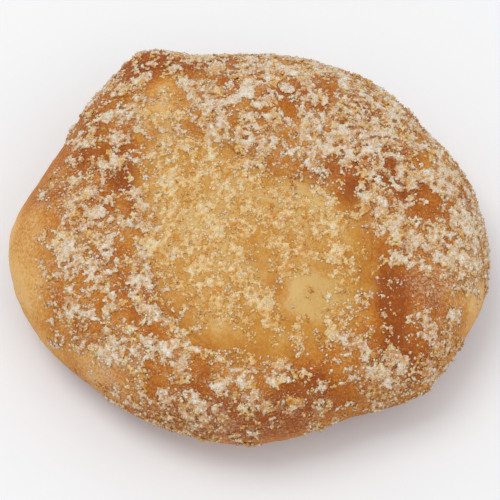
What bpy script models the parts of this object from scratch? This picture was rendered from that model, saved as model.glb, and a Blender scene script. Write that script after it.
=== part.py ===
# Custard-filled doughnut: a flattish round of fried yeast dough, pressed down in its top, with custard in the
# hollow and clumps of sugared crumble stuck to both. Metres, +Z up, resting on z = 0.

import math
import random

import bmesh
import bpy
from mathutils import Matrix, Vector, noise

# ---- Driving dimensions, in metres ----

# The outline seen from above: distance from the axis to the waist, every 15 degrees from +X, anticlockwise.
WAIST_RADII = (
    0.0550, 0.0539, 0.0515, 0.0517, 0.0513, 0.0504,
    0.0500, 0.0511, 0.0563, 0.0531, 0.0505, 0.0514,
    0.0552, 0.0546, 0.0525, 0.0503, 0.0497, 0.0496,
    0.0500, 0.0493, 0.0494, 0.0542, 0.0546, 0.0561,
)
NUB_ANGLE, NUB_WIDTH, NUB_REACH = 117, 6, 0.0020  # the pulled corner at the back left, in degrees and metres
WAIST_Z = 0.012
CREST_Z = 0.0305
SIDE_POWER = 4.6  # how square the side is above the waist; 2 is a quarter circle
BELLY_POWER = 2.4  # the same below the waist
BELLY_SINK = 0.0022  # how far the round underside would pass below the surface that it rests on

# The hollow and its custard. Radii every 30 degrees from +X, anticlockwise, about the hollow's own centre.
HOLLOW_CENTRE = (0.0015, -0.0145)
CUSTARD_RADII = (
    0.0247, 0.0260, 0.0230, 0.0235, 0.0390, 0.0280,
    0.0220, 0.0205, 0.0205, 0.0235, 0.0225, 0.0240,
)
HOLLOW_DEPTH = 0.0115
HOLLOW_FLOOR = 0.45  # the floor ends and the lip's crest begins at these shares of the custard's radius
HOLLOW_LIP = 1.29
CUSTARD_DROP = 0.0028  # how far the custard's edge lies below the dome that the dough would have without it
CUSTARD_CROWN = 0.0008
CUSTARD_EDGE = 0.08  # share of its rings over which the custard's edge closes
GAP = 0.0003  # clear space between the custard and the dough

# Lumps and dents in the dough's top: name, x, y, reach, rise.
DOUGH_RELIEF = (
    ("right blister", 0.0390, -0.0240, 0.0075, 0.0030),
    ("valley inside the blister", 0.0300, -0.0230, 0.0040, -0.0020),
    ("valley before the blister", 0.0330, -0.0320, 0.0045, -0.0020),
    ("back right dent", 0.0347, 0.0070, 0.0042, -0.0026),
    ("left pinch", -0.0285, 0.0068, 0.0030, -0.0030),
    ("left crease", -0.0270, 0.0150, 0.0038, -0.0018),
    ("back left trough", -0.0190, 0.0385, 0.0044, -0.0018),
    ("left swelling", -0.0370, -0.0150, 0.0110, 0.0012),
    ("back left swelling", -0.0345, 0.0225, 0.0080, 0.0014),
    ("back swelling", 0.0070, 0.0280, 0.0110, 0.0012),
    ("front swelling", 0.0110, -0.0415, 0.0065, 0.0018),
    ("front left swelling", -0.0200, -0.0360, 0.0080, 0.0012),
)

# The same for the custard, which stays slightly heaped where it was piped.
CUSTARD_RELIEF = (
    ("heap", 0.0125, -0.0218, 0.0055, 0.0026),
    ("furrow beside the heap", 0.0035, -0.0220, 0.0036, -0.0014),
    ("back heap", 0.0090, -0.0030, 0.0070, 0.0012),
    ("tongue", -0.0125, 0.0130, 0.0070, 0.0010),
)

# Gentle unevenness all over: breadth and height of its waves.
DOUGH_WAVES = (0.013, 0.0014)
CUSTARD_WAVES = (0.009, 0.0010)

# Clumps of crumble: how many, and their smallest and largest radius.
DOUGH_CLUMPS = (146, 0.0010, 0.0023)
CUSTARD_CLUMPS = (28, 0.0009, 0.0017)
CLUMP_CRAG = (0.78, 1.18)  # how far in and out its corners lie, as shares of its radius
CLUMP_SUNK = 0.18  # how far its centre lies below the surface, as a share of its radius
CLUMP_ROOM = 1.2  # its distance from the next clump or an edge, as a share of its radius
CLUMP_TRIES = 200
CRUMB_LIMIT = 0.91  # share of the waist's radius out to which clumps lie
BARE_LEFT = 0.10  # how much less that is on the left, where the side shows
BARE_EDGE = 0.0015  # breadth of the custard's edge that stays clear of clumps

DOUGH_SEGMENTS, TOP_RINGS, BELLY_RINGS = 76, 24, 10
CUSTARD_SEGMENTS, CUSTARD_RINGS = 44, 18
SEED = 7

# Colour, linear, and roughness.
CRUST = ((0.46, 0.20, 0.065), 0.65)
CUSTARD = ((0.62, 0.39, 0.14), 0.4)


# ---- Curves and surfaces ----

def ring_radius(radii, angle):
    """The radius at an angle, on the closed smooth curve through evenly spaced radii."""
    place = (angle / math.tau % 1.0) * len(radii)
    start = math.floor(place)
    t = place - start
    a, b, c, d = (radii[(start + step) % len(radii)] for step in (-1, 0, 1, 2))
    return b + 0.5 * t * (c - a + t * (2 * a - 5 * b + 4 * c - d + t * (3 * (b - c) + d - a)))


def smooth_step(low, high, value):
    t = min(1.0, max(0.0, (value - low) / (high - low)))
    return t * t * (3 - 2 * t)


def relief_at(relief, x, y):
    """The sum of the named lumps and dents at a point."""
    return sum(
        rise * math.exp(-((x - cx) ** 2 + (y - cy) ** 2) / reach**2)
        for _, cx, cy, reach, rise in relief
    )


def waves_at(waves, x, y):
    breadth, height = waves
    return height * noise.noise(Vector((x, y, height)) / breadth)


def even_and_sine(quarter):
    """A share of the way out that grows with the quarter turn, in smaller steps towards the end."""
    return 0.4 * quarter + 0.6 * math.sin(quarter * math.pi / 2)


def waist_radius(angle):
    past_nub = (math.degrees(angle) - NUB_ANGLE + 180) % 360 - 180
    return ring_radius(WAIST_RADII, angle) + NUB_REACH * math.exp(-((past_nub / NUB_WIDTH) ** 2))


def hollow_share(x, y):
    """Distance from the hollow's centre as a share of the custard's radius that way."""
    dx, dy = x - HOLLOW_CENTRE[0], y - HOLLOW_CENTRE[1]
    return math.hypot(dx, dy) / ring_radius(CUSTARD_RADII, math.atan2(dy, dx))


def dome(x, y):
    """How much of the crest's height is left above a point: 1 in the middle, falling to 0 at the waist."""
    share = min(1.0, math.hypot(x, y) / waist_radius(math.atan2(y, x)))
    return math.sqrt(1 - share**SIDE_POWER)


def dough_top(x, y):
    """Height of the dough's upper surface above a point inside the waist."""
    inward = hollow_share(x, y)
    hollow = HOLLOW_DEPTH * (1 - smooth_step(HOLLOW_FLOOR, HOLLOW_LIP, inward))
    lumps = relief_at(DOUGH_RELIEF, x, y) + waves_at(DOUGH_WAVES, x, y)
    lumps *= smooth_step(0.85, 1.25, inward)
    return WAIST_Z + dome(x, y) * (CREST_Z - WAIST_Z + lumps - hollow)


def dough_underside(share):
    """Height of the lower surface at a share of the waist's radius: a belly, pressed flat at the bottom."""
    belly = (WAIST_Z + BELLY_SINK) * (1 - (1 - share**BELLY_POWER) ** (1 / BELLY_POWER))
    return max(0.0, belly - BELLY_SINK)


def custard_top(x, y):
    """Height of the custard: it follows the dome, a little lower, and is flat along its edge."""
    level = WAIST_Z + dome(x, y) * (CREST_Z - WAIST_Z) - CUSTARD_DROP
    lumps = CUSTARD_CROWN + relief_at(CUSTARD_RELIEF, x, y) + waves_at(CUSTARD_WAVES, x, y)
    return level + lumps * (1 - min(1.0, hollow_share(x, y)) ** 2)


# ---- Pieces ----

def parts_collection():
    collection = bpy.data.collections.new("custard_doughnut")
    bpy.context.scene.collection.children.link(collection)
    return collection


def material(name, look):
    colour, roughness = look
    made = bpy.data.materials.new(name)
    made.use_nodes = True
    shader = made.node_tree.nodes["Principled BSDF"]
    shader.inputs["Base Color"].default_value = (*colour, 1)
    shader.inputs["Roughness"].default_value = roughness
    shader.inputs["Metallic"].default_value = 0
    return made


def object_from(shape, name, collection, finish=None):
    """A smooth-shaded object made from a bmesh, which is freed."""
    mesh = bpy.data.meshes.new(name)
    shape.to_mesh(mesh)
    shape.free()
    mesh.shade_smooth()
    if finish:
        mesh.materials.append(finish)
    made = bpy.data.objects.new(name, mesh)
    collection.objects.link(made)
    return made


def moulded_ball(segments, rings, place):
    """A ball whose vertices go where place(angle, turn) says, with turn from 0 at the top to 1 underneath."""
    shape = bmesh.new()
    bmesh.ops.create_uvsphere(shape, u_segments=segments, v_segments=rings, radius=1)
    for vertex in shape.verts:
        x, y, z = vertex.co
        turn = math.acos(max(-1.0, min(1.0, z))) / math.pi
        vertex.co = place(math.atan2(y, x), turn)
    return shape


def dough_point(angle, turn):
    rings = TOP_RINGS + BELLY_RINGS
    ring = round(turn * rings)
    above = ring <= TOP_RINGS
    if above:
        share = even_and_sine(ring / TOP_RINGS)
    else:
        share = math.sin((rings - ring) / BELLY_RINGS * math.pi / 2)
    radius = share * waist_radius(angle)
    x, y = radius * math.cos(angle), radius * math.sin(angle)
    return x, y, dough_top(x, y) if above else dough_underside(share)


def custard_point(angle, turn):
    """The custard fills the hollow up to its own level, one gap clear of the dough."""
    above = turn <= 0.5
    share = even_and_sine(1 - abs(1 - 2 * turn))
    radius = share * ring_radius(CUSTARD_RADII, angle)
    x = HOLLOW_CENTRE[0] + radius * math.cos(angle)
    y = HOLLOW_CENTRE[1] + radius * math.sin(angle)
    bottom = dough_top(x, y) + GAP
    top = max(custard_top(x, y), bottom + GAP)
    middle = (top + bottom) / 2
    reach = min(1.0, abs(turn - 0.5) / CUSTARD_EDGE)
    return x, y, middle + reach * ((top if above else bottom) - middle)


def clump(rng, centre, radius, collection):
    """One craggy lump of crumble: a 20-sided ball, pushed out of shape and turned at random."""
    shape = bmesh.new()
    bmesh.ops.create_icosphere(shape, subdivisions=1, radius=radius)
    for vertex in shape.verts:
        vertex.co *= rng.uniform(*CLUMP_CRAG)
    axis = Vector([rng.gauss(0, 1) for _ in range(3)])
    turn = Matrix.Rotation(rng.uniform(0, math.tau), 3, axis)
    bmesh.ops.rotate(shape, cent=(0, 0, 0), matrix=turn, verts=shape.verts)
    bmesh.ops.translate(shape, vec=centre, verts=shape.verts)
    return object_from(shape, "clump", collection)


def spread(rng, clumps, disc, allowed):
    """Places on a disc for clumps, largest first, none nearer to another than their radii allow."""
    count, smallest, largest = clumps
    sizes = sorted((smallest + (largest - smallest) * rng.random() ** 2 for _ in range(count)), reverse=True)
    placed = []
    for radius in sizes:
        for _ in range(CLUMP_TRIES):
            x, y = point_on_disc(rng, *disc)
            clear = all(math.hypot(x - px, y - py) > CLUMP_ROOM * (radius + pr) for px, py, pr in placed)
            if clear and allowed(x, y, radius):
                placed.append((x, y, radius))
                break
    return placed


def point_on_disc(rng, centre, reach):
    angle, distance = rng.uniform(0, math.tau), reach * math.sqrt(rng.random())
    return centre[0] + distance * math.cos(angle), centre[1] + distance * math.sin(angle)


def past_custard(x, y):
    """Distance outwards from the custard's edge, negative on the custard."""
    dx, dy = x - HOLLOW_CENTRE[0], y - HOLLOW_CENTRE[1]
    return math.hypot(dx, dy) - ring_radius(CUSTARD_RADII, math.atan2(dy, dx))


def on_the_rim(x, y, radius):
    """True where a clump can lie on the dough: clear of the custard, and not too far down the side."""
    angle = math.atan2(y, x)
    limit = CRUMB_LIMIT - BARE_LEFT * max(0.0, -math.cos(angle))
    clear_of_custard = past_custard(x, y) > CLUMP_ROOM * radius + 2 * GAP
    return clear_of_custard and math.hypot(x, y) < limit * waist_radius(angle)


def on_the_custard(x, y, radius):
    return -past_custard(x, y) > CLUMP_ROOM * radius + BARE_EDGE


def fuse(body, clumps):
    """Joins the clumps to the body in one Boolean union, applies it and removes the clumps."""
    union = body.modifiers.new("clumps", "BOOLEAN")
    union.operation = "UNION"
    union.operand_type = "COLLECTION"
    union.collection = clumps
    union.solver = "MANIFOLD"
    graph = bpy.context.evaluated_depsgraph_get()
    joined = bpy.data.meshes.new_from_object(body.evaluated_get(graph))
    body.modifiers.clear()
    body.data = joined
    for piece in list(clumps.objects):
        bpy.data.objects.remove(piece)
    bpy.data.collections.remove(clumps)


def add_clumps(body, rng, how_many, disc, allowed, surface):
    clumps = bpy.data.collections.new("clumps")
    bpy.context.scene.collection.children.link(clumps)
    for x, y, radius in spread(rng, how_many, disc, allowed):
        clump(rng, (x, y, surface(x, y) - CLUMP_SUNK * radius), radius, clumps)
    fuse(body, clumps)


def make_dough(collection, rng):
    ball = moulded_ball(DOUGH_SEGMENTS, TOP_RINGS + BELLY_RINGS, dough_point)
    dough = object_from(ball, "dough", collection, material("crust", CRUST))
    add_clumps(dough, rng, DOUGH_CLUMPS, ((0, 0), max(WAIST_RADII)), on_the_rim, dough_top)


def make_custard(collection, rng):
    ball = moulded_ball(CUSTARD_SEGMENTS, CUSTARD_RINGS, custard_point)
    custard = object_from(ball, "custard", collection, material("custard", CUSTARD))
    add_clumps(custard, rng, CUSTARD_CLUMPS, (HOLLOW_CENTRE, max(CUSTARD_RADII)), on_the_custard, custard_top)


def main():
    for old in list(bpy.data.objects):
        bpy.data.objects.remove(old)
    rng = random.Random(SEED)
    collection = parts_collection()
    make_dough(collection, rng)
    make_custard(collection, rng)


main()
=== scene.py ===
import math

import bmesh
import bpy
import numpy as np
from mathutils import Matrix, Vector, noise
from mathutils.bvhtree import BVHTree


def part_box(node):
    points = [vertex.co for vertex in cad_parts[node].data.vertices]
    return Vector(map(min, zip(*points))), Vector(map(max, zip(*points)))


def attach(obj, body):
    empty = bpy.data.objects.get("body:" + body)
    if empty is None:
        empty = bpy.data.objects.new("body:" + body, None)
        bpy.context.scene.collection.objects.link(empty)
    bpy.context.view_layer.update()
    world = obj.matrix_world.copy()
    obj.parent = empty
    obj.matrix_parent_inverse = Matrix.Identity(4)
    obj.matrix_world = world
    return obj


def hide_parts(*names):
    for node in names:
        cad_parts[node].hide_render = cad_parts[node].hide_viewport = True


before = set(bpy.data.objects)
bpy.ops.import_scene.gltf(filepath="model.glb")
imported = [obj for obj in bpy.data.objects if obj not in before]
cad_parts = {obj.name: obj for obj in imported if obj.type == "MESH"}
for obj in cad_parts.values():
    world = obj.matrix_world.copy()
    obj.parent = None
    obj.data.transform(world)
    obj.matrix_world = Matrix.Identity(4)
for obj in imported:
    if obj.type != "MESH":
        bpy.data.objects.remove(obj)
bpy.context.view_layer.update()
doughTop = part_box("dough")[1].z
poolLow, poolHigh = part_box("custard")
print("frame loaded:", sorted(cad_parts))


def deselectAll():
    if bpy.context.object and bpy.context.object.mode != "OBJECT":
        bpy.ops.object.mode_set(mode="OBJECT")
    bpy.ops.object.select_all(action="DESELECT")


def makeActive(piece):
    deselectAll()
    piece.select_set(True)
    bpy.context.view_layer.objects.active = piece


def applyModifier(piece, kind, **settings):
    modifier = piece.modifiers.new(kind.title(), kind)
    for name, value in settings.items():
        setattr(modifier, name, value)
    makeActive(piece)
    bpy.ops.object.modifier_apply(modifier=modifier.name)


def copyOfNode(nodeName, name):
    # the node's own mesh is loose triangles: the copy's corners are merged
    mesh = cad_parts[nodeName].data.copy()
    mesh.name = name
    mesh.materials.clear()
    piece = bpy.data.objects.new(name, mesh)
    bpy.context.scene.collection.objects.link(piece)
    makeActive(piece)
    bpy.ops.object.mode_set(mode="EDIT")
    bpy.ops.mesh.select_all(action="SELECT")
    bpy.ops.mesh.remove_doubles(threshold=1e-6)
    bpy.ops.object.mode_set(mode="OBJECT")
    return piece


def clumpFaces(shape, inwardEdge=-0.5, mostFaces=80):
    # the faces of each fused clump: small groups that sharp inward edges part from the rest
    groups, seen = [], set()
    for start in shape.faces:
        if start in seen:
            continue
        group, waiting = [], [start]
        seen.add(start)
        while waiting:
            face = waiting.pop()
            group.append(face)
            for edge in face.edges:
                if len(edge.link_faces) != 2 or edge.calc_face_angle_signed(0) < inwardEdge:
                    continue
                for near in edge.link_faces:
                    if near not in seen:
                        seen.add(near)
                        waiting.append(near)
        groups.append(group)
    return [group for group in groups if len(group) < mostFaces]


def takeClumpsOff(piece):
    # returns where the fused clumps stood and how big they were, and leaves a closed bare surface
    shape = bmesh.new()
    shape.from_mesh(piece.data)
    groups = clumpFaces(shape)
    clumps = []
    for group in groups:
        inside = set(group)
        rim = [e for f in group for e in f.edges if any(g not in inside for g in e.link_faces)]
        foot = [v.co for e in rim for v in e.verts] or [v.co for f in group for v in f.verts]
        middle = sum(foot, Vector()) / len(foot)
        clumps.append((middle.copy(), sum((p - middle).length for p in foot) / len(foot)))
    bmesh.ops.delete(shape, geom=[f for g in groups for f in g], context="FACES")
    shape.to_mesh(piece.data)
    shape.free()
    makeActive(piece)
    bpy.ops.object.mode_set(mode="EDIT")
    bpy.ops.mesh.select_all(action="SELECT")
    bpy.ops.mesh.fill_holes(sides=0)
    bpy.ops.mesh.normals_make_consistent(inside=False)
    bpy.ops.object.mode_set(mode="OBJECT")
    return clumps


def verticesOf(piece):
    flat = np.empty(len(piece.data.vertices) * 3, np.float32)
    piece.data.vertices.foreach_get("co", flat)
    return flat.reshape(-1, 3).astype(float)


def normalsOf(piece):
    flat = np.empty(len(piece.data.vertices) * 3, np.float32)
    piece.data.vertex_normals.foreach_get("vector", flat)
    return flat.reshape(-1, 3).astype(float)


def moveVertices(piece, points):
    piece.data.vertices.foreach_set("co", points.astype(np.float32).ravel())
    piece.data.update()


def deleteVertices(piece, chosen):
    shape = bmesh.new()
    shape.from_mesh(piece.data)
    shape.verts.ensure_lookup_table()
    bmesh.ops.delete(shape, geom=[shape.verts[i] for i in np.flatnonzero(chosen)], context="VERTS")
    shape.to_mesh(piece.data)
    shape.free()


def setValue(piece, name, values):
    attribute = piece.data.attributes.new(name, "FLOAT", "POINT")
    attribute.data.foreach_set("value", np.asarray(values, np.float32))


def noiseAt(points, layers):
    # each layer is a breadth, an amount and a shift that picks another part of the noise
    total = 0
    for breadth, amount, shift in layers:
        scaled = points / breadth + shift
        total = total + amount * np.fromiter((noise.noise(p) for p in scaled), float, len(scaled))
    return total


def smoothStep(low, high, value):
    t = np.clip((value - low) / (high - low), 0, 1)
    return t * t * (3 - 2 * t)


def patchesAt(patches, x, y):
    # each patch is x, y, reach along x and along y, all in millimetres, and an amount
    total = np.zeros(len(x))
    for px, py, rx, ry, amount in patches.values():
        total += amount * np.exp(-(((x * 1000 - px) / rx) ** 2) - ((y * 1000 - py) / ry) ** 2)
    return total


class Outline:
    # distance from a centre to the edge of a shape, by direction, read from its points
    def __init__(self, points, centre, steps=180, window=5):
        self.centre = np.array(centre)
        offset = points[:, :2] - self.centre
        turn = np.arctan2(offset[:, 1], offset[:, 0])
        step = ((turn / math.tau) % 1 * steps).astype(int) % steps
        reach = np.zeros(steps)
        np.maximum.at(reach, step, np.hypot(*offset.T))
        more = window - 1
        wide = np.concatenate([reach[-more:], reach, reach[:more]])
        self.reach = np.convolve(wide, np.ones(window) / window, "same")[more:-more]
        self.steps = steps

    def share(self, x, y):
        # 0 at the centre and 1 at the edge
        dx, dy = x - self.centre[0], y - self.centre[1]
        place = (np.arctan2(dy, dx) / math.tau) % 1 * self.steps - 0.5
        low = np.floor(place).astype(int)
        part = place - low
        edge = self.reach[low % self.steps] * (1 - part) + self.reach[(low + 1) % self.steps] * part
        return np.hypot(dx, dy) / edge


class Surface:
    # faces of some pieces, to lay things on
    def __init__(self, pieces, keep):
        found = np.concatenate([trianglesOf(piece, keep) for piece in pieces])
        across = np.cross(found[:, 1] - found[:, 0], found[:, 2] - found[:, 0])
        length = np.linalg.norm(across, axis=1)
        self.corners, self.areas = found, length / 2
        self.normals = across / length[:, None]
        points = [Vector(p) for p in found.reshape(-1, 3)]
        self.tree = BVHTree.FromPolygons(points, np.arange(len(points)).reshape(-1, 3).tolist())

    def scatter(self, rng, count, weight):
        # places on the surface, more of them where the weight is high
        chance = self.areas * weight(self.corners.mean(1))
        picked = rng.choice(len(chance), count, p=chance / chance.sum())
        a, b = rng.random((2, count))
        flip = a + b > 1
        a[flip], b[flip] = 1 - a[flip], 1 - b[flip]
        first, second, third = self.corners[picked].transpose(1, 0, 2)
        places = first + a[:, None] * (second - first) + b[:, None] * (third - first)
        return places, self.normals[picked]

    def nearest(self, places):
        # the nearest places on the surface and which way it faces there
        found = [self.tree.find_nearest(Vector(p)) for p in places]
        return np.array([f[0] for f in found]), np.array([f[1] for f in found])


def trianglesOf(piece, keep, tiny=1e-15):
    # corners of the piece's triangles, of those that keep picks by middle and slope
    mesh = piece.data
    mesh.calc_loop_triangles()
    flat = np.empty(len(mesh.loop_triangles) * 3, np.int32)
    mesh.loop_triangles.foreach_get("vertices", flat)
    found = verticesOf(piece)[flat.reshape(-1, 3)]
    across = np.cross(found[:, 1] - found[:, 0], found[:, 2] - found[:, 0])
    length = np.linalg.norm(across, axis=1)
    slope = across[:, 2] / np.maximum(length, tiny)
    return found[(length > tiny) & keep(piece, found.mean(1), slope)]


class Heights:
    # how high a surface lies over a square grid, softened
    def __init__(self, surface, low, high, step=0.0005, softness=3.2, window=8, above=0.1):
        self.low, self.step = np.array(low), step
        columns, rows = (int((b - a) / step) + 2 for a, b in zip(low, high))
        self.grid = np.zeros((columns, rows))
        down = Vector((0, 0, -1))
        for i in range(columns):
            for j in range(rows):
                start = Vector((low[0] + i * step, low[1] + j * step, above))
                hit = surface.tree.ray_cast(start, down)[0]
                self.grid[i, j] = hit.z if hit else 0
        around = np.exp(-((np.arange(-window, window + 1) / softness) ** 2) / 2)
        around /= around.sum()
        for axis in (0, 1):
            self.grid = np.apply_along_axis(np.convolve, axis, self.grid, around, "same")

    def at(self, x, y):
        places = (np.stack([x, y], -1) - self.low) / self.step
        places = np.clip(places, 0, np.array(self.grid.shape) - 1.001)  # just inside the grid
        i, j = places.astype(int).T
        u, v = (places % 1).T
        near = self.grid[i, j] * (1 - v) + self.grid[i, j + 1] * v
        far = self.grid[i + 1, j] * (1 - v) + self.grid[i + 1, j + 1] * v
        return near * (1 - u) + far * u


dough = {
    "voxel": 0.00056,  # grid that the skin is remade on
    "smoothing": 22,
    "waves": ((0.0060, 0.00022, 0.0), (0.0022, 0.00009, 7.0)),  # its unevenness
    "flatFoot": (0.0005, 0.004),  # heights between which the waves begin: the resting face stays flat
    "fried": 0.52,  # how browned it is, from 0 to 1, where no patch says otherwise
    "mottling": ((0.012, 0.30, 0.0), (0.005, 0.20, 3.0)),
    "friedTop": 0.12,  # more where crumble may lie
    "friedFoot": 0.25,  # more low down, below these shares of its height
    "foot": (0.15, 0.35),
    "patched": (0.25, 0.6),  # shares of its height between which the patches below begin
    # the pale line round the waist, in shares of the height and of the way out; it fades in front, as
    # painted shade on the front
    "belt": {"height": 0.42, "breadth": 0.14, "paler": 0.45, "reach": (0.86, 0.99)},
    "beltFront": {"from": (-0.008, -0.030), "less": 0.85},
    # colours from the least fried to the most, linear
    "pale": (0.70, 0.42, 0.145),
    "golden": (0.56, 0.24, 0.034),
    "brown": (0.42, 0.127, 0.010),
    "deep": (0.28, 0.062, 0.004),
    "powder": (0.74, 0.56, 0.37),
}


def makeDough():
    piece = copyOfNode("dough", "doughSkin")
    clumps = takeClumpsOff(piece)
    applyModifier(piece, "REMESH", mode="VOXEL", voxel_size=dough["voxel"], use_smooth_shade=True)
    applyModifier(piece, "SMOOTH", factor=0.5, iterations=dough["smoothing"])
    points, normals = verticesOf(piece), normalsOf(piece)
    lift = noiseAt(points, dough["waves"])
    lift *= smoothStep(*dough["flatFoot"], points[:, 2])
    moveVertices(piece, points + normals * lift[:, None])
    print("dough skin:", len(points), "points,", len(clumps), "clumps on it")
    return piece, clumps


custard = {
    "voxel": 0.00036,
    "smoothing": 12,
    "swell": 0.00035,  # closes the gap to the dough
    "forward": 0.004,  # its middle lies so far before that of its box, which holds the tongue
    "spill": 0.11,  # how far its edge is drawn out over the dough, as a share of its own reach
    "spillFrom": 0.86,  # share of the way to its edge at which that starts
    "seam": 1.045,  # share at which the dough's surface takes over
    "seamReach": 0.12,  # how far the two surfaces are brought together on either side
    "seamWidth": 0.3,  # how far beyond the seam each surface is still changed
    "dive": 0.0014,  # how deep each lies under the other
    "diveOver": 0.06,  # and how soon it gets there
    "tongue": (-20, 25, 4, 7, 1.0),  # a patch where the crumble is the same as on the custard
    "crumbFade": (0.75, 1.35),  # shares between which its kind of crumble gives way to the rim's
    "baked": 0.48,  # how browned it is, from 0 to 1
    "mottling": ((0.009, 0.25, 2.0), (0.0035, 0.22, 4.0)),
    "bakedEdge": 0.25,  # more towards its edge
    "edge": (0.8, 1.05),
    "runsOut": (0.93, 1.20),  # shares between which its colour gives way to the crust's
    "raggedEdge": ((0.004, 0.10, 9.0),),
    "cream": (0.63, 0.41, 0.15),
    "gold": (0.54, 0.25, 0.036),
    "singed": (0.44, 0.165, 0.018),
    "powder": (0.76, 0.56, 0.27),
}


def makeCustard():
    piece = copyOfNode("custard", "custardSkin")
    clumps = takeClumpsOff(piece)
    applyModifier(piece, "REMESH", mode="VOXEL", voxel_size=custard["voxel"], use_smooth_shade=True)
    applyModifier(piece, "SMOOTH", factor=0.5, iterations=custard["smoothing"])
    points, normals = verticesOf(piece), normalsOf(piece)
    moveVertices(piece, points + normals * custard["swell"])
    print("custard skin:", len(points), "points,", len(clumps), "clumps on it")
    return piece, clumps


def meetAtSeam(pieces, pool, margin=0.008, facingUp=0.1):
    # the custard is drawn out over the dough's edge, and both come to one level where they meet;
    # beyond that each dives under the other
    def looksUp(piece, middles, slope):
        return (slope > facingUp) & (middles[:, 2] > doughTop / 2)

    low, high = (poolLow.x - margin, poolLow.y - margin), (poolHigh.x + margin, poolHigh.y + margin)
    heights = Heights(Surface(pieces, looksUp), low, high)
    for piece, side in zip(pieces, (1, -1)):  # the dough shows beyond the seam, the custard within it
        points, normals = verticesOf(piece), normalsOf(piece)
        share = pool.share(*points.T[:2])
        if side < 0:
            outward = points[:, :2] - pool.centre
            drawn = custard["spill"] * smoothStep(custard["spillFrom"], 1.0, share)
            drawn = drawn / np.maximum(share, 0.1)  # never divided by nothing
            points[:, :2] += outward * drawn[:, None]
            share = pool.share(*points.T[:2])
        beyond = (share - custard["seam"]) * side
        level = heights.at(*points.T[:2])
        shown = points[:, 2] + (level - points[:, 2]) * np.exp(-((beyond / custard["seamReach"]) ** 2))
        dive = custard["dive"] * smoothStep(0, custard["diveOver"], -beyond)
        hidden = np.minimum(points[:, 2], level - dive)
        near = (points[:, 2] > doughTop / 2) & (beyond < custard["seamWidth"])
        points[:, 2] = np.where(near & (beyond > 0) & (normals[:, 2] > facingUp), shown, points[:, 2])
        points[:, 2] = np.where(near & (beyond <= 0), hidden, points[:, 2])
        moveVertices(piece, points)


# Patches where the crust is browner (plus) or paler (minus); the one on the front wall is painted
# shade.
browningAndPaintedShade = {
    "beside the blister": (31, -25, 2.6, 7, 0.75),
    "blister": (38, -22, 7, 5, 0.22),
    "before the blister": (35, -37, 5, 4, 0.40),
    "back right dent": (34, 8, 4, 6, 0.55),
    "back right of the custard": (24, 1, 3.5, 6, 0.25),
    "behind the custard": (13, 9, 8, 2.5, 0.20),
    "front middle": (12, -41, 8, 3.5, 0.30),
    # painted shade: the front wall is made darker, as if browner
    "front wall": (-2, -49, 30, 5.0, 0.70),
    "tongue": (-20, 27, 5, 8, -0.50),
    "left pinch": (-27, 7, 3, 4, 0.55),
    "left crease": (-27, 15, 4, 3, 0.40),
    "corner": (-24, 44, 8, 7, 0.40),
    "back trough": (-18, 39, 5, 3, 0.35),
    "left side": (-44, 24, 8, 9, 0.35),
    "left front side": (-50, -14, 7, 9, -0.35),
    "far left side": (-53, 0, 5, 8, -0.30),
    "front left wall": (-18, -51, 9, 5, 0.40),
    "right front side": (51, -21, 5, 6, -0.60),
    "centre": (0, -12, 26, 22, -0.35),
}

# The same for the custard. The paler heap is a painted highlight and the darker furrow beside it
# painted shade.
custardBrowningAndPaintedLight = {
    # painted highlight: the heap's top is made paler
    "heap": (14.5, -23.5, 6, 5.5, -0.75),
    "back right": (11, 2, 9, 5, -0.75),
    # painted shade: the heap's left side is made darker
    "furrow": (6, -21, 2.5, 5, 0.45),
    "before the heap": (12, -29, 5, 2, 0.30),
    "front": (-1, -36, 8, 4, 0.30),
    "front left": (-6, -30, 8, 4, -0.15),
    "back right edge": (22, 2, 3, 5, 0.45),
    "left": (-13, -4, 9, 7, -0.35),
    "right edge": (20, -14, 4, 4, 0.35),
    "tongue": (-19, 25, 6, 9, -0.85),
}

# The film of powder: how thick it lies all over and with the crumble, and patches of more or less.
powder = {
    "allOver": 0.05,
    "withCrumble": 0.25,
    "contrast": 1.3,
    "crumbleFrom": (0.25, 0.5),  # shares of the dough's height
    "patchesFrom": (0.12, 0.3),
    "patches": {
        "blister": (39, -21, 7, 5, 0.32),
        "valley": (30, -24, 3.5, 8, -0.30),
        "front wall": (-4, -49, 32, 4.5, 0.17),
        "front left wall": (-34, -38, 11, 7, 0.25),
        "right wall": (53, -8, 4, 16, 0.3),
        "left side": (-48, -2, 8, 16, 0.18),
    },
}


def colourSkin(piece, waist, pool):
    # both skins get every value from their place alone, so that they match where they meet
    points = verticesOf(piece)
    x, y, z = points.T
    inward, height = pool.share(x, y), z / doughTop
    belt, front = dough["belt"], dough["beltFront"]
    pale = np.exp(-(((height - belt["height"]) / belt["breadth"]) ** 2))
    pale *= smoothStep(*belt["reach"], waist.share(x, y))
    # painted shade: the pale line fades on the front
    pale *= 1 - front["less"] * smoothStep(*front["from"], y)
    fried = dough["fried"] + noiseAt(points, dough["mottling"])
    fried += dough["friedTop"] * edgeFade(points, waist)
    # these patches carry the browning and the painted shade on the front wall
    fried += patchesAt(browningAndPaintedShade, x, y) * smoothStep(*dough["patched"], height)
    fried += dough["friedFoot"] * (1 - smoothStep(*dough["foot"], height)) - belt["paler"] * pale
    baked = custard["baked"] + custard["bakedEdge"] * smoothStep(*custard["edge"], inward)
    # these patches carry the custard's browning and the painted highlight and shade on its heap
    baked += noiseAt(points, custard["mottling"]) + patchesAt(custardBrowningAndPaintedLight, x, y)
    custardy = 1 - smoothStep(*custard["runsOut"], inward + noiseAt(points, custard["raggedEdge"]))
    custardy *= height > 0.5
    film = powder["withCrumble"] * coverAt(points, waist, powder["contrast"])
    film = powder["allOver"] + film * smoothStep(*powder["crumbleFrom"], height)
    film += patchesAt(powder["patches"], x, y) * smoothStep(*powder["patchesFrom"], height)
    for name, values in (("fried", fried), ("baked", baked), ("custardy", custardy), ("film", film)):
        setValue(piece, name, np.clip(values, 0, 1))


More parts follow.
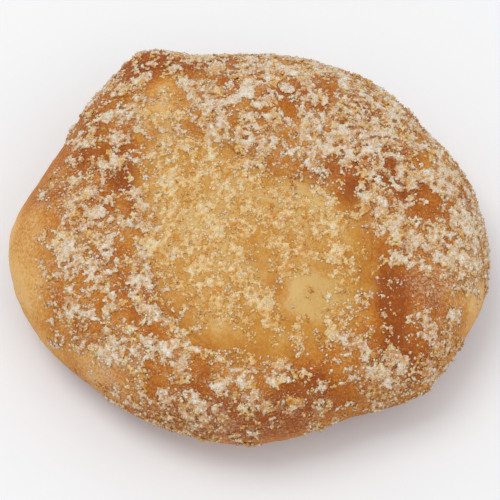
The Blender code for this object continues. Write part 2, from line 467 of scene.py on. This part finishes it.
crumble = {
    "seed": 11,
    "limit": 1.04,  # share of the way to the waist out to which crumble lies
    "fade": (0.10, 0.04),  # it thins out from so far within that to so far beyond it
    # directions in degrees in which it stops sooner: their breadth, and how much sooner
    "bare": {
        "left": (180, 34, 0.15),
        "right front": (-22, 8, 0.08),
        "front left": (-135, 12, 0.02),
    },
    "usual": 0.68,  # how much of the top it covers where no patch says otherwise
    "broken": ((0.0055, 0.45, 1.0), (0.0020, 0.55, 5.0)),
    "clusters": 9600,
    "crowding": 2.2,  # how strictly the clusters keep to the covered parts
    "lone": 0.04,  # how many lie elsewhere
    "clusterRadius": (0.0003, 0.0019),
    "fewLarge": 2.0,  # fewer of them are large the higher this is
    "lumpsPerCluster": 1.1,  # on a cluster as broad as one lump
    "packing": 1.9,  # the power of its breadth with which their number grows
    "outline": ((0.002, 0.45, 17.0),),  # how uneven its outline is
    "outlineWay": 0.003,
    "lump": (0.00018, 0.00044),  # radius of the lumps that a cluster is made of
    "fewThick": 1.4,  # fewer of the lumps are thick the higher this is
    "fewLow": 0.6,  # and fewer lie low in their heap the lower this is
    "ragged": 0.22,  # how uneven a lump is
    "stretched": (0.7, 1.2),
    "sunk": 0.25,  # how deep its lowest lumps sit, for their radius
    "melted": 0.22,  # how much deeper they sit in the custard
    "heap": 0.38,  # how high a cluster rises, for its radius
    "flatter": 0.35,  # how much less it rises on the custard
    "clump": 0.0008,  # radius from which a cluster is grown together into a clump
    "shaded": 0.12,  # how much darker it is painted on the steep sides, as painted shade
    "steep": (0.3, 0.85),  # from how upright to how level those are
    "holes": ((0.0013, 1.0, 41.0),),  # the holes in it through which the skin shows
    "frayed": 0.08,  # how frayed their edges are
    "closed": -0.20,  # fewer of them the lower this is
    "voxel": 0.00033,
    "roughness": 0.00008,
    "filling": 0.00005,  # how deep the grown clumps lie below the lumps
    "hidden": 0.0001,  # what lies deeper than this below the skin is cut off
    "perPiece": 15000,  # most lumps in one piece
    "showing": 0.5,  # lumps lower than this in their clump are only in the filling
    "strays": 0.22,  # share of lumps that take a kind of their own, not their cluster's
}

# Patches with more crumble (plus) or less (minus) than the usual amount.
crumbCover = {
    "blister top": (38, -21, 6.5, 4, -0.85),
    "valley": (30, -24, 4, 9, -1.6),
    "beside the custard": (26, -27, 4, 4, -0.5),
    "right of the custard": (29, -14, 5, 6, -0.65),
    "before the blister": (36, -33, 4, 3, -0.7),
    "front bare patch": (16, -39.5, 6, 4, -0.85),
    "behind the bare patch": (20, -33, 4, 3, -0.5),
    "front edge": (6, -48, 8, 3.5, -0.60),
    "custard heap": (14, -23.5, 5.5, 5.5, -1.2),
    "custard front": (-2, -32, 9, 4.0, -0.85),
    "custard front right": (6, -37, 6, 3.0, -0.65),
    "custard back right": (13, 5, 8, 2.2, -0.30),
    "custard right": (15, -4, 5, 4, 0.25),
    "custard right lip": (22.5, 3.5, 3.5, 5.0, -0.80),
    "back of the custard": (9, 26, 4, 4, -0.75),
    "back right dent": (40, 0, 5, 8, -0.50),
    "left pinch": (-27, 7, 2.5, 3.0, -0.70),
    "front left slope": (-21, -28, 6, 5, -0.50),
    "left of the custard": (-20, -20, 4, 4, 0.25),
    "left crease": (-28, 15, 3, 2.0, -0.45),
    "left of the tongue": (-32, 27, 5, 4, -0.50),
    "left upper side": (-36, 16, 5, 7, -0.70),
    "left side": (-44, -2, 4, 10, -0.35),
    "left front": (-31, -23, 4, 5, -0.50),
    "trough": (-22, 35, 5, 3.5, -0.60),
    "corner": (-26, 44, 6, 5, -0.95),
    "tongue": (-20, 25, 4, 6, -0.25),
    "behind the middle": (4, 13, 5, 3, 0.45),
    "back middle": (9, 34, 4, 3, 0.25),
    "back right": (20, 26, 10, 6, 0.05),
    "behind the lip": (23, 9, 4, 5, -0.45),
    "back right slope": (24, 20, 7, 4, 0.90),
    "right of the lip": (32, -7, 3, 3.5, 0.60),
    "right middle": (45, -12, 6, 4.5, 0.50),
    "far back right": (32, 20, 4, 4, 0.80),
    "right front wall": (38, -42, 8, 4, 0.35),
    "right edge": (50, -12, 4, 10, 0.75),
    "right front": (46, -33, 4, 7, 0.80),
    "back edge": (8, 41, 20, 5, -0.10),
    "between middle and back": (2, 23, 4, 5, -0.25),
    "custard left": (-12, -4, 8, 7, 0.60),
    "front left": (-20, -41, 8, 5, -0.35),
    "front left rim": (-37, -34, 3, 4, 0.6),
    "front left wall": (-42, -38, 4, 3, -0.15),
    "front left edge": (-16, -45, 8, 5, 0.25),
    "front right edge": (29, -37, 6, 4.5, 0.80),
}


def edgeFade(points, waist):
    # 1 where crumble may lie, 0 beyond it, which is nearer in some directions
    x, y = points[:, 0], points[:, 1]
    limit = np.full(len(x), crumble["limit"])
    for direction, breadth, sooner in crumble["bare"].values():
        aside = (np.degrees(np.arctan2(y, x)) - direction + 180) % 360 - 180
        limit -= sooner * np.exp(-((aside / breadth) ** 2))
    within, past = crumble["fade"]
    return 1 - smoothStep(limit - within, limit + past, waist.share(x, y))


def coverAt(points, waist, contrast):
    # how much crumble lies at each place: patches, broken up by noise
    usual = crumble["usual"] + patchesAt(crumbCover, points[:, 0], points[:, 1])
    broken = noiseAt(points, crumble["broken"])
    return smoothStep(0.0, 1.0, usual + contrast * broken) * edgeFade(points, waist)


def onCustard(pool, places):
    # 1 well inside the custard's edge or by its tongue, 0 far outside
    x, y = places[:, 0], places[:, 1]
    byTongue = patchesAt({"tongue": custard["tongue"]}, x, y)
    return np.maximum(1 - smoothStep(*custard["crumbFade"], pool.share(x, y)), byTongue)


# How pale a crumb is: 0 in the crevices, 0.5 mostly, 1 on the tops. Darker low down and in the crevices
# is painted shade, partly also crumbs browned at their foot.
crumbTone = {
    "lump": 0.42,
    "lumpTop": 0.28,  # more on the top of a heap that rises so far: painted shade low in the heap, partly crumbs browned at their foot
    "lumpTopAt": 0.0008,
    "lumpDrift": ((0.0030, 0.30, 21.0),),
    "eachLump": 0.32,  # how much they differ by themselves and by cluster
    "eachCluster": 0.20,
    "above": 0.24,  # a lump is painted paler above and darker underneath: painted light and shade
    "lower": 0.03,
    "clump": 0.26,  # the same for what is grown together
    # paler towards a clump's top: painted shade low down, partly crumbs browned at their foot
    "clumpTop": 0.42,
    "clumpTopAt": 0.0007,
    "clumpDrift": ((0.0030, 0.25, 21.0), (0.0010, 0.60, 23.0)),
    # points pushed in by the roughness are darker and those pushed out paler: painted shade in the
    # small hollows
    "eachPoint": 0.08,
    "stops": (0.12, 0.5, 0.9),  # where the three colours of a kind stand
    "grain": (2300, 2),  # scale and detail of the noise within a crumb
    "grainAmount": 0.6,
}


# Kinds of crumb, linear colours: in the crevices and underneath, where they give painted shade as well
# as a browner foot, mostly, and on the tops. Then how common each is, how much more so on the custard,
# and where the noise drifts up.
crumbKinds = {
    "sugar": {
        "base": (0.52, 0.22, 0.05), "body": (0.70, 0.54, 0.37), "top": (0.79, 0.75, 0.67),
        "usual": 0.70, "onCustard": -0.66, "drift": 0,
    },
    "butter": {
        "base": (0.58, 0.26, 0.04), "body": (0.73, 0.51, 0.23), "top": (0.80, 0.71, 0.51),
        "usual": 0.18, "onCustard": 0.50, "drift": 1,
    },
    "toasted": {
        "base": (0.52, 0.20, 0.03), "body": (0.69, 0.40, 0.12), "top": (0.78, 0.58, 0.28),
        "usual": 0.06, "onCustard": 0, "drift": -0.5,
    },
}
kindDrift = ((0.006, 0.5, 11.0),)


def kindOf(rng, pool, places, rarest=0.01):
    # sugared crumbs on the rim, buttery ones over the custard, toasted ones here and there
    centre, drift = onCustard(pool, places), noiseAt(places, kindDrift)
    chances = np.stack([
        kind["usual"] + kind["onCustard"] * centre + np.clip(kind["drift"] * drift, 0, 1)
        for kind in crumbKinds.values()
    ])
    steps = np.cumsum(np.clip(chances, rarest, 1), 0)
    return np.minimum((rng.random(len(places)) * steps[-1] > steps).sum(0), len(chances) - 1)


def randomTurns(rng, count):
    # evenly spread rotation matrices
    q = rng.normal(size=(count, 4))
    w, x, y, z = (q / np.linalg.norm(q, axis=1)[:, None]).T
    rows = [
        [1 - 2 * (y * y + z * z), 2 * (x * y - z * w), 2 * (x * z + y * w)],
        [2 * (x * y + z * w), 1 - 2 * (x * x + z * z), 2 * (y * z - x * w)],
        [2 * (x * z - y * w), 2 * (y * z + x * w), 1 - 2 * (x * x + y * y)],
    ]
    return np.array(rows).transpose(2, 0, 1)


def shapeOf(addPrimitive, tilt=(0.7, 0.5, 0), **settings):
    # corners and triangles of a primitive, tilted so that none of its faces is upright
    deselectAll()
    addPrimitive(rotation=tilt, **settings)
    bpy.ops.object.transform_apply(location=False, rotation=True, scale=False)
    made = bpy.context.object
    applyModifier(made, "TRIANGULATE")
    points = verticesOf(made)
    flat = np.empty(len(made.data.polygons) * 3, np.int32)
    made.data.polygons.foreach_get("vertices", flat)
    bpy.data.objects.remove(made)
    return points, flat.reshape(-1, 3)


def crumbMesh(name, rng, shape, places, sizes, tones):
    # one mesh with a ragged, turned and stretched copy of the shape at every place, with painted shade
    # making each darker underneath
    points, faces = shape
    count, corners = len(places), len(points)
    ragging = 1 + rng.uniform(-crumble["ragged"], crumble["ragged"], (count, corners, 1))
    stretch = rng.uniform(*crumble["stretched"], (count, 1, 3))
    local = points[None] * ragging * stretch * sizes[:, None, None]
    turned = np.einsum("nij,nkj->nki", randomTurns(rng, count), local)
    # painted light and shade: a corner's tone goes with its height within the lump
    tones = tones[:, None] + crumbTone["above"] * turned[:, :, 2] / sizes[:, None] - crumbTone["lower"]
    turned += places[:, None]
    mesh = bpy.data.meshes.new(name)
    mesh.vertices.add(count * corners)
    mesh.vertices.foreach_set("co", turned.astype(np.float32).ravel())
    allFaces = (faces[None] + corners * np.arange(count)[:, None, None]).reshape(-1, 3)
    mesh.loops.add(allFaces.size)
    mesh.loops.foreach_set("vertex_index", allFaces.astype(np.int32).ravel())
    mesh.polygons.add(len(allFaces))
    mesh.polygons.foreach_set("loop_start", np.arange(0, allFaces.size, 3, dtype=np.int32))
    mesh.update(calc_edges=True)
    piece = bpy.data.objects.new(name, mesh)
    bpy.context.scene.collection.objects.link(piece)
    setValue(piece, "tone", tones.ravel())
    layOutCrumbs(mesh, points, faces, count)
    return piece


def layOutCrumbs(mesh, points, faces, count, margin=0.02):
    # every crumb gets a square of the map: faces that look up in one half, the others in the other
    columns = math.ceil(math.sqrt(count))
    corner = points[faces]
    upper = np.cross(corner[:, 1] - corner[:, 0], corner[:, 2] - corner[:, 0])[:, 2] > 0
    corner = corner[:, :, :2] / np.abs(points[:, :2]).max() * 0.5 + 0.5
    u = corner[..., 0] * (0.5 - 2 * margin) + np.where(upper[:, None], margin, 0.5 + margin)
    v = corner[..., 1] * (1 - 4 * margin) + 2 * margin
    cell = np.arange(count)
    allU = (cell % columns)[:, None, None] + u[None]
    allV = (cell // columns)[:, None, None] + v[None]
    places = np.stack([allU, allV], -1) / columns
    layer = mesh.uv_layers.new(name="OFBake")
    layer.uv.foreach_set("vector", places.astype(np.float32).ravel())


def makeClusters(rng, ground, waist, fused):
    # the clusters fused to the solids, and smaller ones between them
    def crowded(places):
        covered = coverAt(places, waist, crumble["crowding"]) ** 2
        return covered + crumble["lone"] * edgeFade(places, waist)

    smallest, largest = crumble["clusterRadius"]
    count = crumble["clusters"]
    places, normals = ground.scatter(rng, count, crowded)
    radii = smallest + (largest - smallest) * rng.random(count) ** crumble["fewLarge"]
    spots, facing = ground.nearest([p for p, _ in fused])
    places = np.concatenate([spots, places])
    normals = np.concatenate([facing, normals])
    return places, normals, np.concatenate([[r for _, r in fused], radii])


# painted shade: the crumble's tone is lowered on its steep sides
def shadeOf(facing):
    return crumble["shaded"] * (1 - smoothStep(*crumble["steep"], facing[:, 2]))


def makeLumps(rng, ground, pool, places, normals, radii):
    # each cluster is a low heap of lumps that lie on the surface and on one another
    low, high = crumble["lump"]
    broad = radii / ((low + high) / 2)
    counts = np.maximum(1, (crumble["lumpsPerCluster"] * broad ** crumble["packing"]).astype(int))
    owner = np.repeat(np.arange(len(places)), counts)
    count = len(owner)
    way = rng.normal(size=(count, 3))
    way -= normals[owner] * (way * normals[owner]).sum(1)[:, None]
    way /= np.linalg.norm(way, axis=1)[:, None]
    out = np.sqrt(rng.random(count))
    out *= 1 + noiseAt(places[owner] + way * crumble["outlineWay"], crumble["outline"])
    spots, facing = ground.nearest(places[owner] + way * (radii[owner] * out)[:, None])
    sizes = low + (high - low) * rng.random(count) ** crumble["fewThick"]
    level = rng.random(count) ** crumble["fewLow"]
    rise = radii[owner] * crumble["heap"] * np.clip(1 - out**2, 0, 1) * level
    soft = onCustard(pool, spots)
    rise *= 1 - crumble["flatter"] * soft
    spots += facing * (rise - sizes * (crumble["sunk"] + crumble["melted"] * soft))[:, None]
    # painted shade, partly crumbs browned at their foot: lumps low in their heap are darker
    tones = crumbTone["lump"] + crumbTone["lumpTop"] * smoothStep(0, crumbTone["lumpTopAt"], rise)
    tones += noiseAt(spots, crumbTone["lumpDrift"])
    alone, together = crumbTone["eachLump"], crumbTone["eachCluster"]
    tones += rng.uniform(-alone, alone, count) + rng.uniform(-together, together, len(places))[owner]
    # painted shade on the steep sides
    tones -= shadeOf(facing)
    showing = (radii[owner] < crumble["clump"]) | (level > crumble["showing"])
    frayed = rng.uniform(-crumble["frayed"], crumble["frayed"], count)
    kept = noiseAt(spots, crumble["holes"]) + frayed > crumble["closed"]
    return [values[kept] for values in (spots, facing, sizes, tones, owner, showing)]


def makeBlanket(rng, ground, name, spots, sizes):
    # the lumps of one kind, grown together, paler towards their tops: painted shade low down, partly
    # crumbs browned at their foot
    ball = shapeOf(bpy.ops.mesh.primitive_ico_sphere_add, radius=1, subdivisions=1)
    piece = crumbMesh(name, rng, ball, spots, sizes, np.zeros(len(spots)))
    piece.data.attributes.remove(piece.data.attributes["tone"])
    piece.data.uv_layers.remove(piece.data.uv_layers["OFBake"])
    applyModifier(piece, "REMESH", mode="VOXEL", voxel_size=crumble["voxel"], use_smooth_shade=False)
    points, normals = verticesOf(piece), normalsOf(piece)
    jitter = rng.uniform(-1, 1, len(points))
    moveVertices(piece, points + normals * (crumble["roughness"] * jitter)[:, None])
    under, facing = ground.nearest(points)
    lift = ((points - under) * facing).sum(1)
    # painted shade, partly crumbs browned at their foot: darker close to the skin
    tone = crumbTone["clump"] + crumbTone["clumpTop"] * smoothStep(0, crumbTone["clumpTopAt"], lift)
    # painted shade in the small hollows: tone follows how far each point was pushed
    tone += crumbTone["eachPoint"] * jitter
    tone += noiseAt(points, crumbTone["clumpDrift"])
    # painted shade on the steep sides
    tone -= shadeOf(facing)
    setValue(piece, "tone", np.clip(tone, 0, 1))
    deleteVertices(piece, lift < -crumble["hidden"])
    return piece


def crumbleGround(doughSkin, custardSkin, pool, steepest=-0.2, lowest=0.3):
    # what crumble may lie on: the upper faces, without those that lie under the other skin
    def showsAbove(piece, middles, slope):
        above = (slope > steepest) & (middles[:, 2] > lowest * doughTop)
        beyond = pool.share(middles[:, 0], middles[:, 1]) - custard["seam"]
        return above & (beyond > 0 if piece == doughSkin else beyond < 0)

    return Surface([doughSkin, custardSkin], showsAbove)


def makeCrumble(ground, waist, pool, fused):
    rng = np.random.default_rng(crumble["seed"])
    places, normals, radii = makeClusters(rng, ground, waist, fused)
    spots, facing, sizes, tones, owner, showing = makeLumps(rng, ground, pool, places, normals, radii)
    filling = spots - facing * crumble["filling"]
    middle = (filling + ground.nearest(filling)[0]) / 2  # more of them between those and the surface
    kinds = kindOf(rng, pool, places)[owner]
    stray = rng.random(len(kinds)) < crumble["strays"]
    kinds[stray] = kindOf(rng, pool, spots[stray])
    inClump = radii[owner] > crumble["clump"]
    lump = shapeOf(bpy.ops.mesh.primitive_cylinder_add, radius=1, depth=1.5, vertices=3)
    for index, (kind, look) in enumerate(crumbKinds.items()):
        material = crumbMaterial(kind, look)
        grown, loose = inClump & (kinds == index), showing & ~inClump & (kinds == index)
        inside = np.concatenate([filling[grown], middle[grown]])
        blanket = makeBlanket(rng, ground, kind + "Clumps", inside, np.tile(sizes[grown], 2))
        finishPiece(blanket, material)
        print(kind + ":", len(blanket.data.polygons), "faces grown together")
        for ending, chosen in (("Lumps", showing & grown), ("Crumbs", loose)):
            chosen = np.flatnonzero(chosen)
            pieces = math.ceil(len(chosen) / crumble["perPiece"])
            for number, some in enumerate(np.array_split(chosen, pieces), 1):
                name = kind + ending + str(number)
                crumbs = crumbMesh(name, rng, lump, spots[some], sizes[some], tones[some])
                finishPiece(crumbs, material)
                print(name + ":", len(some))
    makeFineSugar(rng, ground, waist, pool, lump)


fineSugar = {
    "size": (0.00013, 0.00028),
    "plump": 1.2,  # drawn larger by this, as a ragged crumb comes out smaller than its size
    "count": 16000,
    "tries": 3,  # places tried for each grain
    "allOver": 0.2,  # how much of it lies where no crumble does, and beyond the crumble's limit
    "beyond": 0.01,
    "contrast": 1.0,
    "less": 0.9,  # less of it on the custard
    "kept": 0.35,  # share of the places kept, which differs from patch to patch
    "patches": ((0.0011, 1.5, 31.0),),
    "keptLeast": 0.03,
    "tones": (0.05, 0.50),
}


def makeFineSugar(rng, ground, waist, pool, shape):
    def strewn(places):
        cover = fineSugar["allOver"] + coverAt(places, waist, fineSugar["contrast"])
        cover = cover * edgeFade(places, waist) + fineSugar["beyond"]
        return cover * (1 - fineSugar["less"] * onCustard(pool, places))

    spots, _ = ground.scatter(rng, fineSugar["tries"] * fineSugar["count"], strewn)
    patchy = fineSugar["kept"] + noiseAt(spots, fineSugar["patches"])
    patchy = np.clip(patchy, fineSugar["keptLeast"], 1)
    spots = rng.permutation(spots[rng.random(len(spots)) < patchy])[:fineSugar["count"]]
    sizes = rng.uniform(*fineSugar["size"], len(spots)) / 2 * fineSugar["plump"]
    tones = rng.uniform(*fineSugar["tones"], len(spots))
    piece = crumbMesh("fineSugar", rng, shape, spots, sizes, tones)
    finishPiece(piece, crumbMaterial("fineSugar", crumbKinds["sugar"]))
    print("fine sugar:", len(spots), "grains")


class Value:
    # a shader socket with arithmetic
    def __init__(self, maker, socket):
        self.maker, self.socket = maker, socket

    def maths(self, operation, first, second):
        return self.maker.node("ShaderNodeMath", {"operation": operation}, {0: first, 1: second})

    def __add__(self, other):
        return self.maths("ADD", self, other)

    def __sub__(self, other):
        return self.maths("SUBTRACT", self, other)

    def __rsub__(self, other):
        return self.maths("SUBTRACT", other, self)

    def __mul__(self, other):
        return self.maths("MULTIPLY", self, other)

    __radd__, __rmul__ = __add__, __mul__

    def clamped(self):
        return self.maker.node("ShaderNodeClamp", {}, {"Value": self})


class MaterialMaker:
    def __init__(self, name):
        self.material = bpy.data.materials.new(name)
        self.material.use_nodes = True
        self.tree = self.material.node_tree
        self.shader = self.tree.nodes["Principled BSDF"]

    def node(self, kind, settings, inputs, output=0):
        made = self.tree.nodes.new(kind)
        for name, value in settings.items():
            if name == "stops":
                while len(made.color_ramp.elements) < len(value):
                    made.color_ramp.elements.new(0.5)
                for element, (place, colour) in zip(made.color_ramp.elements, value):
                    element.position, element.color = place, (*colour, 1)
            else:
                setattr(made, name, value)
        for name, value in inputs.items():
            self.feed(made.inputs[name], value)
        return Value(self, made.outputs[output])

    def feed(self, socket, value):
        if isinstance(value, Value):
            self.tree.links.new(value.socket, socket)
        elif isinstance(value, tuple) and socket.type == "RGBA":
            socket.default_value = (*value, 1)
        else:
            socket.default_value = value

    def attribute(self, name):
        return self.node("ShaderNodeAttribute", {"attribute_name": name}, {}, "Fac")

    def place(self):
        return self.node("ShaderNodeTexCoord", {}, {}, "Object")

    def noise(self, scale, detail, roughness=0.55):
        inputs = {"Vector": self.place(), "Scale": scale, "Detail": detail, "Roughness": roughness}
        return self.node("ShaderNodeTexNoise", {}, inputs, "Fac")

    def mix(self, share, first, second):
        return self.node("ShaderNodeMix", {"data_type": "RGBA"}, {0: share, 6: first, 7: second}, 2)

    def ramp(self, share, stops):
        return self.node("ShaderNodeValToRGB", {"stops": stops}, {"Fac": share})

    def bump(self, height, distance):
        return self.node("ShaderNodeBump", {}, {"Height": height, "Distance": distance})

    def set(self, **sockets):
        for name, value in sockets.items():
            self.feed(self.shader.inputs[name.replace("_", " ")], value)
        return self.material


# Noises are a scale, a detail and a roughness.
skinFinish = {
    "fine": (1500, 4, 0.7),
    "broad": (260, 3),
    "crustMottling": (1.3, 0.40),  # how much of the fine noise and of the broad one
    "custardMottling": (1.3, 0.70),
    "crustStops": (0.0, 0.34, 0.68, 1.0),
    "custardStops": (0.0, 0.55, 1.0),
    "film": (1700, 4, 0.8),
    "filmSpots": 0.60,  # fewer spots of powder the higher this is
    "filmContrast": 5.0,
    "filmThickness": 0.6,
    "pores": (420, 5, 0.6),
    "poreDepth": 0.00015,
    "roughness": 0.62,
    "glossierCustard": 0.22,
    "dullerFilm": 0.3,
}


def skinMaterial(name):
    maker = MaterialMaker(name)
    fine, broad = maker.noise(*skinFinish["fine"]) - 0.5, maker.noise(*skinFinish["broad"]) - 0.5
    crustFine, crustBroad = skinFinish["crustMottling"]
    custardFine, custardBroad = skinFinish["custardMottling"]
    fried = (maker.attribute("fried") + fine * crustFine + broad * crustBroad).clamped()
    baked = (maker.attribute("baked") + fine * custardFine + broad * custardBroad).clamped()
    crust = [dough[shade] for shade in ("pale", "golden", "brown", "deep")]
    filling = [custard[shade] for shade in ("cream", "gold", "singed")]
    crust = list(zip(skinFinish["crustStops"], crust))
    filling = list(zip(skinFinish["custardStops"], filling))
    custardy = maker.attribute("custardy")
    colour = maker.mix(custardy, maker.ramp(fried, crust), maker.ramp(baked, filling))
    spots = maker.noise(*skinFinish["film"]) - skinFinish["filmSpots"]
    film = ((maker.attribute("film") * 0.5 + spots) * skinFinish["filmContrast"]).clamped()
    powdery = maker.mix(custardy, dough["powder"], custard["powder"])
    dull = film * skinFinish["dullerFilm"]
    return maker.set(
        Base_Color=maker.mix(film * skinFinish["filmThickness"], colour, powdery),
        Roughness=skinFinish["roughness"] - custardy * skinFinish["glossierCustard"] + dull,
        Specular_IOR_Level=0.2,
        Normal=maker.bump(maker.noise(*skinFinish["pores"]), skinFinish["poreDepth"]),
        Subsurface_Weight=0.1,
        Subsurface_Radius=(1.0, 0.4, 0.13),
        Subsurface_Scale=0.0012,
    )


def crumbMaterial(name, look):
    maker = MaterialMaker(name + "Finish")
    tone = maker.attribute("tone") + (maker.noise(*crumbTone["grain"]) - 0.5) * crumbTone["grainAmount"]
    stops = list(zip(crumbTone["stops"], (look["base"], look["body"], look["top"])))
    return maker.set(
        Base_Color=maker.ramp(tone.clamped(), stops),
        Roughness=0.85,
        Specular_IOR_Level=0.25,
    )


def finishPiece(piece, material):
    piece.data.materials.clear()
    piece.data.materials.append(material)
    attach(piece, "root")


camera = {
    "lens": 110,  # millimetres, as the sensor
    "sensor": 36,
    "elevation": 60,  # degrees above the table
    "distance": 0.350,
    "target": (0.00055, -0.0038, 0.0149),
}


def addCamera():
    data = bpy.data.cameras.new("camera")
    data.lens, data.sensor_width = camera["lens"], camera["sensor"]
    eye = bpy.data.objects.new("camera", data)
    bpy.context.scene.collection.objects.link(eye)
    rise = math.radians(camera["elevation"])
    back = Vector((0, -math.cos(rise), math.sin(rise)))
    eye.location = Vector(camera["target"]) + back * camera["distance"]
    eye.rotation_euler = (math.pi / 2 - rise, 0, 0)
    data.clip_start, data.clip_end = 0.01, 10
    bpy.context.scene.camera = eye


stage = {
    "sky": ((1.0, 0.985, 0.96), 0.74),  # colour and strength of the light from all round
    "key": {"at": (-0.35, 0.12, 0.95), "size": 0.55, "power": 3.2, "colour": (1.0, 0.97, 0.92)},
    "fill": {"at": (0.55, -0.50, 0.60), "size": 0.60, "power": 1.0, "colour": (1.0, 0.98, 0.95)},
    "floor": (0.88, 0.905, 0.95),
    "floorClouds": 0.98,  # how dark its faint clouds are, for its colour
    "cloudNoise": (40, 2),
    "floorSize": 3,
    "floorDrop": 0.0001,
}


def addLight(name, setting):
    data = bpy.data.lights.new(name, "AREA")
    data.shape, data.size = "DISK", setting["size"]
    data.energy, data.color = setting["power"], setting["colour"]
    lamp = bpy.data.objects.new(name, data)
    bpy.context.scene.collection.objects.link(lamp)
    lamp.location = setting["at"]
    lamp.rotation_euler = (-Vector(setting["at"])).to_track_quat("-Z", "Y").to_euler()


def addStage():
    deselectAll()
    bpy.ops.mesh.primitive_plane_add(size=stage["floorSize"], location=(0, 0, -stage["floorDrop"]))
    floor = bpy.context.object
    floor.name = "floor"
    maker = MaterialMaker("paleFloor")
    darker = tuple(stage["floorClouds"] * c for c in stage["floor"])
    grain = maker.mix(maker.noise(*stage["cloudNoise"]), stage["floor"], darker)
    floor.data.materials.append(maker.set(Base_Color=grain, Roughness=0.9))
    addLight("keyLight", stage["key"])
    addLight("fillLight", stage["fill"])
    world = bpy.data.worlds.new("studio")
    world.use_nodes = True
    colour, strength = stage["sky"]
    world.node_tree.nodes["Background"].inputs["Color"].default_value = (*colour, 1)
    world.node_tree.nodes["Background"].inputs["Strength"].default_value = strength
    bpy.context.scene.world = world
    bpy.context.scene.view_settings.view_transform = "Standard"


addCamera()
poolCentre = ((poolLow.x + poolHigh.x) / 2, (poolLow.y + poolHigh.y) / 2 - custard["forward"])
custardSkin, custardClumps = makeCustard()
pool = Outline(verticesOf(custardSkin), poolCentre)
doughSkin, doughClumps = makeDough()
waist = Outline(verticesOf(doughSkin), (0, 0))
meetAtSeam((doughSkin, custardSkin), pool)
colourSkin(doughSkin, waist, pool)
colourSkin(custardSkin, waist, pool)
print("skins joined and coloured")
finishPiece(doughSkin, skinMaterial("friedCrust"))
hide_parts("dough")
finishPiece(custardSkin, skinMaterial("bakedCustard"))
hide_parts("custard")
ground = crumbleGround(doughSkin, custardSkin, pool)
makeCrumble(ground, waist, pool, doughClumps + custardClumps)
addStage()
print("stage set")
